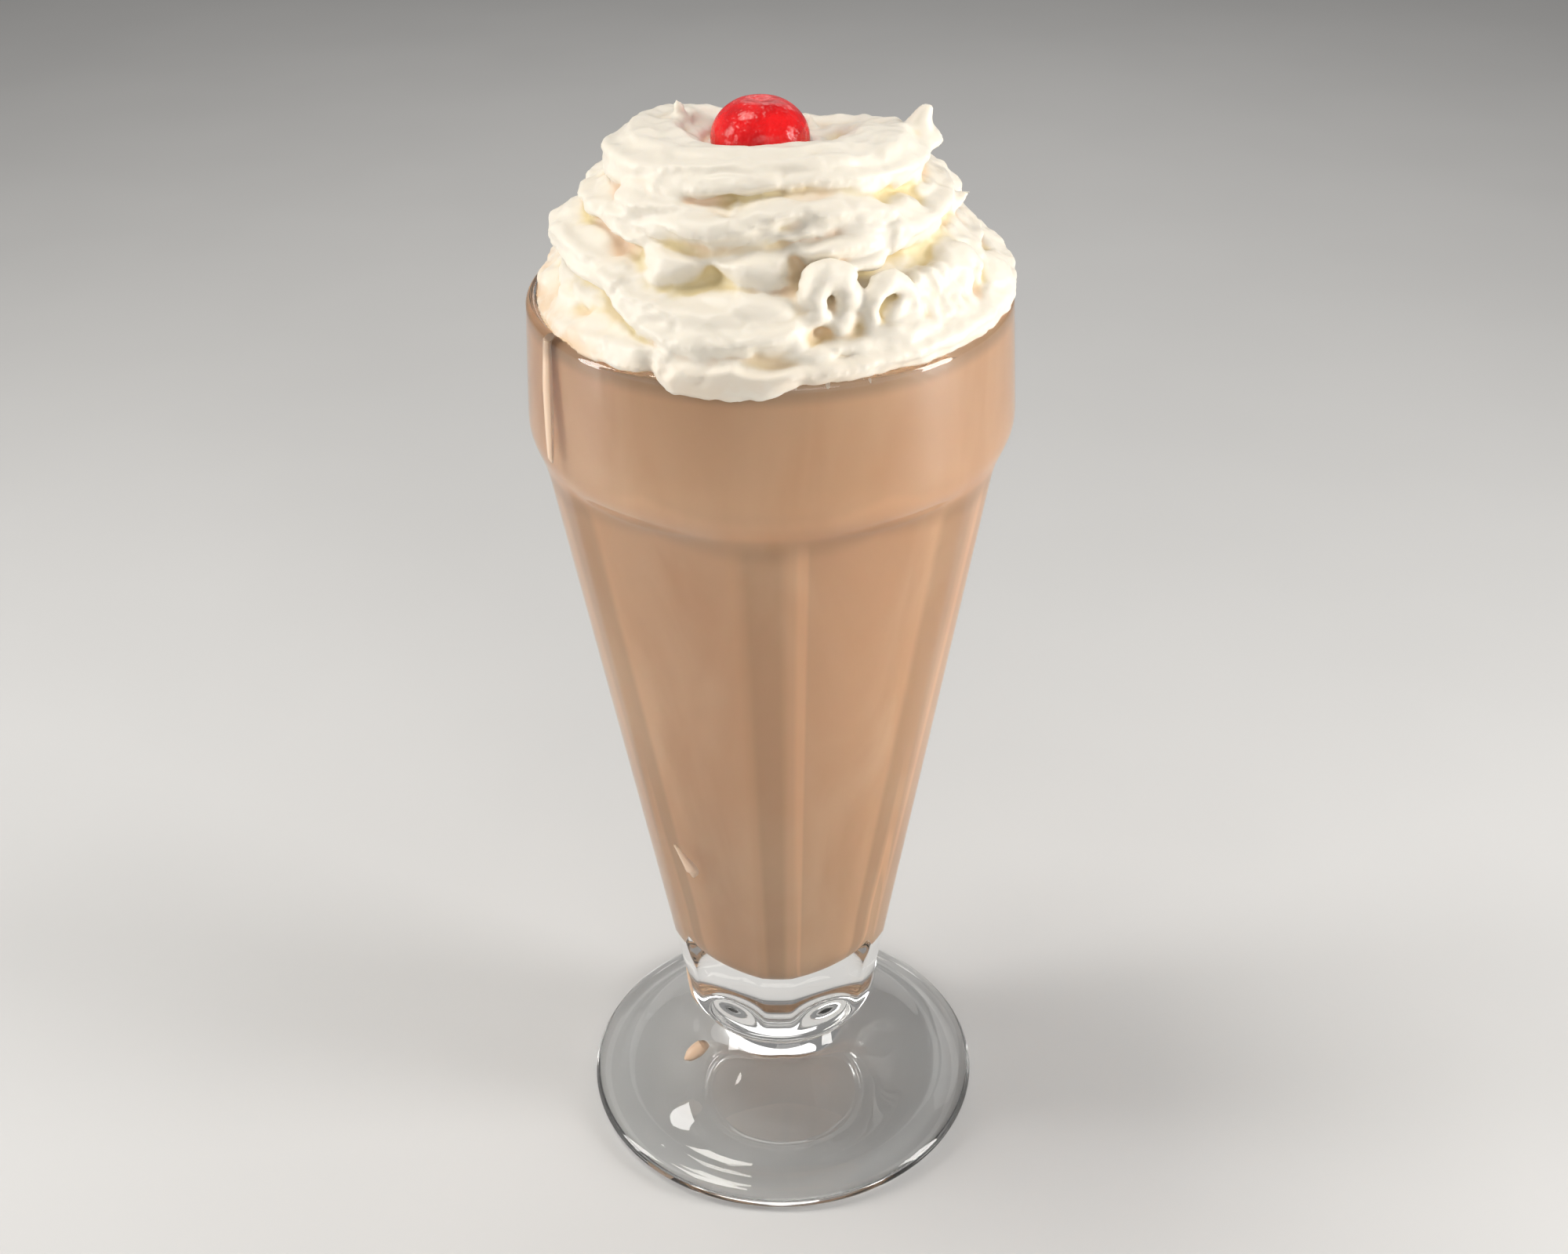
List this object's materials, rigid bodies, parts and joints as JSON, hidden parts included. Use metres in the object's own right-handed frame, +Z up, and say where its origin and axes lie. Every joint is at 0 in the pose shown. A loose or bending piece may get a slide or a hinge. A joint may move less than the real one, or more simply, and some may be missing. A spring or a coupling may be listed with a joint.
{
  "type": "glass of milkshake",
  "caption": "Footed soda fountain glass with flat panels and a plain rim band, filled with milkshake and heaped with folded whipped cream and a cherry.",
  "frame": {"origin": "centre of the foot, in the plane of the ring that the glass stands on", "axes": "+Z up along the glass, -Y towards the camera of the picture, +X to the right in it"},
  "size_m": [0.093, 0.093, 0.2349],
  "materials": {
    "clear_glass": "clear pressed glass, smooth and glossy",
    "milkshake": "smooth thick milkshake, soft tan, seen through the glass",
    "cream": "soft off-white whipped cream, satin",
    "cherry": "wet bright red maraschino cherry, glossy"
  },
  "bodies": {
    "root": {"glass": "clear_glass", "milkshake": "milkshake", "whipped_cream": "cream", "cherry": "cherry"}
  },
  "joints": []
}
